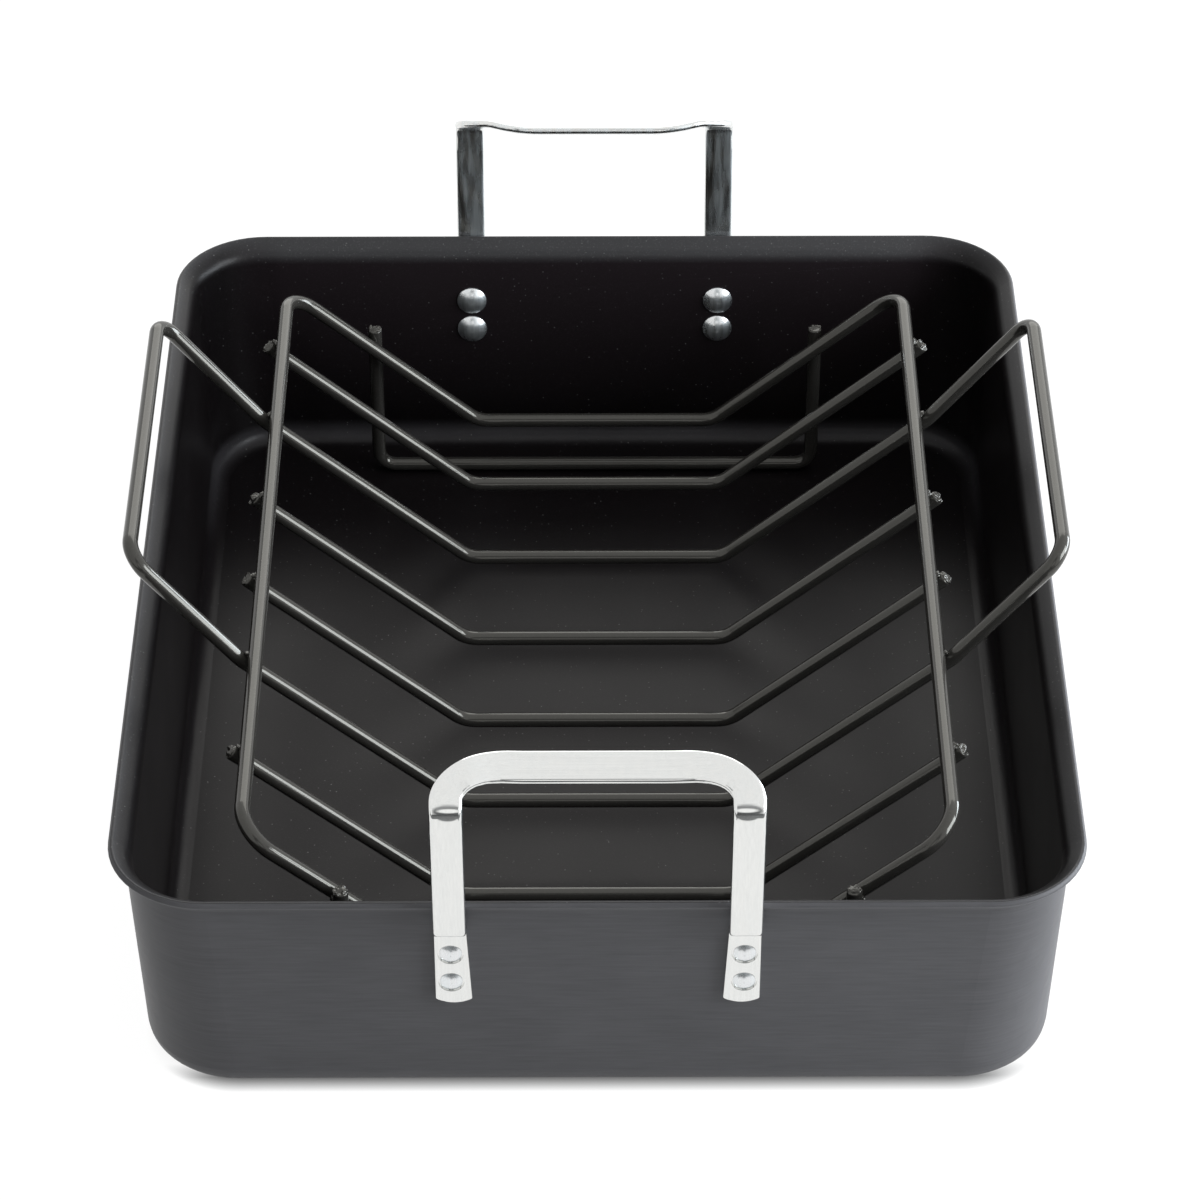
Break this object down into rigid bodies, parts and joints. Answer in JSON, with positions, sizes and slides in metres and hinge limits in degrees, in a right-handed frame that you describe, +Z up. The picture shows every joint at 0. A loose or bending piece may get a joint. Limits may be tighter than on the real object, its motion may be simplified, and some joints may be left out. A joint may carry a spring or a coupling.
{
  "type": "roasting pan with rack",
  "caption": "Deep rectangular roasting pan with a flared lip and riveted upright strap handles, holding a lift-out V-shaped wire roasting rack with side carry loops.",
  "frame": {"origin": "on the table under the middle of the pan", "axes": "+Y along the pan from the front handle to the back handle, +X across it to the right, +Z up"},
  "size_m": [0.3464, 0.4394, 0.1583],
  "materials": {
    "nonstick_pan": "dark grey satin nonstick coating on carbon steel sheet, finely grained",
    "handle_steel": "polished stainless steel",
    "rivet_steel": "polished stainless steel",
    "coated_wire": "semi-gloss dark nonstick coating on steel wire"
  },
  "bodies": {
    "pan": {"pan_body": "nonstick_pan", "front_handle": "handle_steel", "back_handle": "handle_steel", "front_left_upper_rivet": "rivet_steel", "front_left_lower_rivet": "rivet_steel", "front_right_upper_rivet": "rivet_steel", "front_right_lower_rivet": "rivet_steel", "back_left_upper_rivet": "rivet_steel", "back_left_lower_rivet": "rivet_steel", "back_right_upper_rivet": "rivet_steel", "back_right_lower_rivet": "rivet_steel"},
    "rack": {"rack_frame": "coated_wire", "rack_back_cross_wire": "coated_wire", "rack_mid_back_cross_wire": "coated_wire", "rack_mid_front_cross_wire": "coated_wire", "rack_front_cross_wire": "coated_wire", "rack_carry_loop": "coated_wire", "rack_front_leg": "coated_wire", "rack_back_leg": "coated_wire"}
  },
  "joints": [
    {"name": "rack_lift", "type": "slide", "parent": "pan", "child": "rack", "axis": [0, 0, 1], "range_m": [0, 0.2]}
  ]
}
